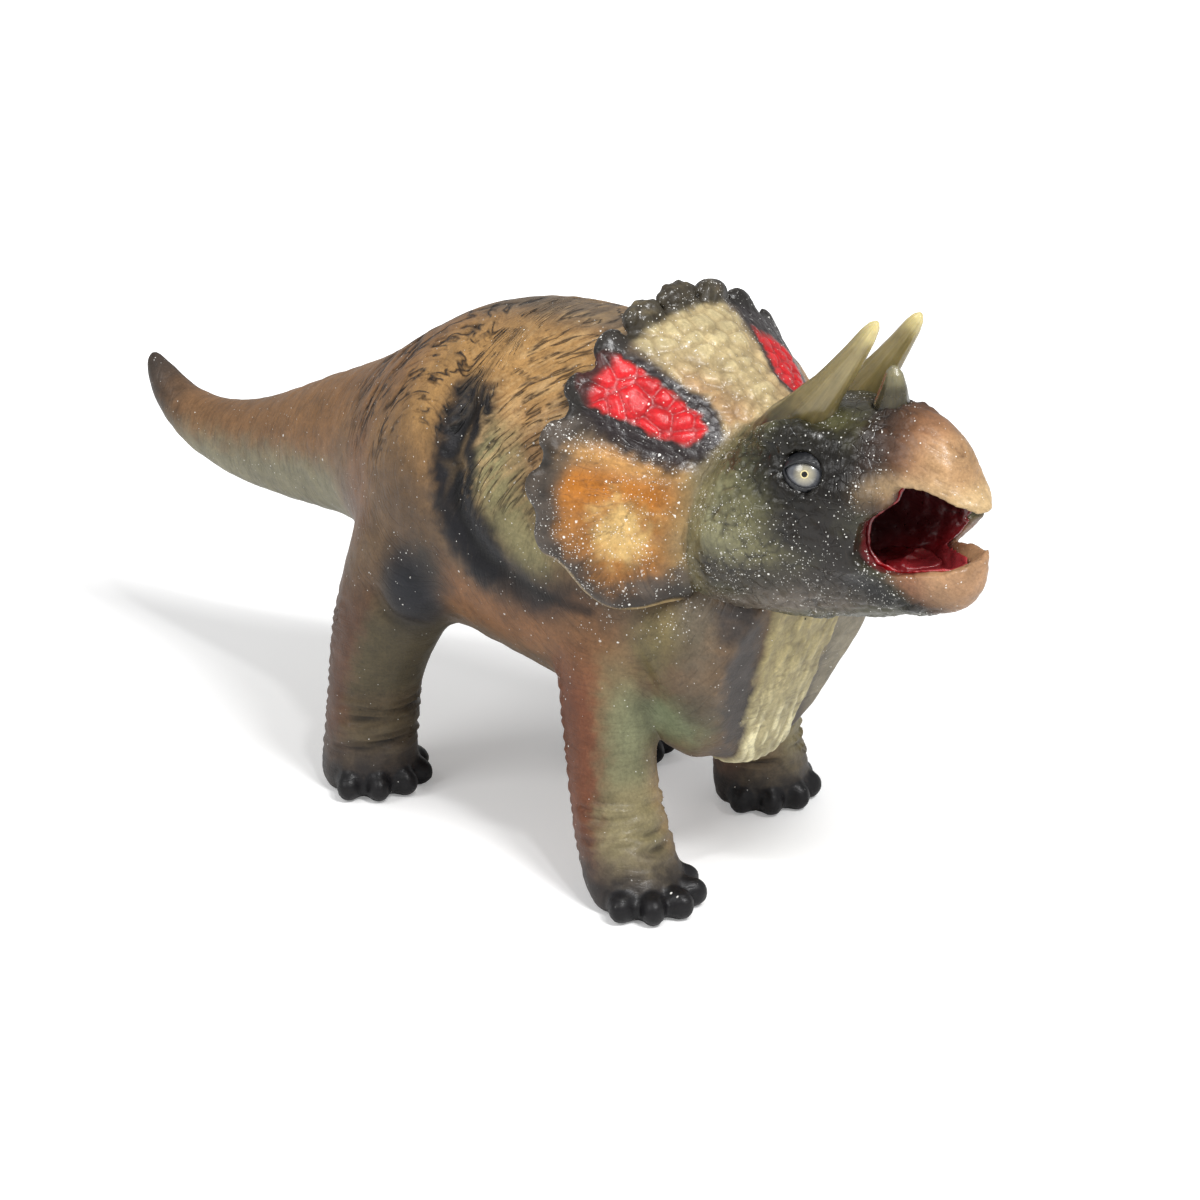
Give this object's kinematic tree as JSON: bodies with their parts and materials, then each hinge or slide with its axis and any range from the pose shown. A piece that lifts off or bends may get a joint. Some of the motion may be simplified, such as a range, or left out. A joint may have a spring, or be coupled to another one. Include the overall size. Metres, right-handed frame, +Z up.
{
  "type": "toy dinosaur figure",
  "caption": "Soft stuffed rubber dinosaur with brow horns, a parrot beak and a neck frill, standing on its legs for play.",
  "frame": {"origin": "under the middle of the toy's bounding box, at the level of the soles", "axes": "+X towards the head, +Y towards the animal's left, +Z up"},
  "size_m": [0.3694, 0.1256, 0.1977],
  "materials": {
    "back_brown": "satin",
    "tail_brown": "satin",
    "leg_olive": "satin",
    "head_olive": "glossy",
    "frill_amber": "glossy",
    "horn_yellow": "glossy",
    "nose_horn_grey": "glossy",
    "mouth_red": "glossy",
    "eye_cream": "glossy",
    "patch_olive": "matte",
    "fibre_white": "matte"
  },
  "bodies": {
    "root": {"torso_skin": "back_brown", "tail_skin": "tail_brown", "head_skin": "head_olive", "neck_frill": "frill_amber", "front_left_leg": "leg_olive", "front_right_leg": "leg_olive", "hind_left_leg": "leg_olive", "hind_right_leg": "leg_olive", "brow_horn_left": "horn_yellow", "brow_horn_right": "horn_yellow", "nose_horn": "nose_horn_grey", "eye_left": "eye_cream", "eye_right": "eye_cream", "mouth_lining": "mouth_red", "filling_patch": "patch_olive", "torso_stuffing": "fibre_white", "tail_stuffing": "fibre_white", "head_stuffing": "fibre_white", "front_left_leg_stuffing": "fibre_white", "front_right_leg_stuffing": "fibre_white", "hind_left_leg_stuffing": "fibre_white", "hind_right_leg_stuffing": "fibre_white"}
  },
  "joints": []
}
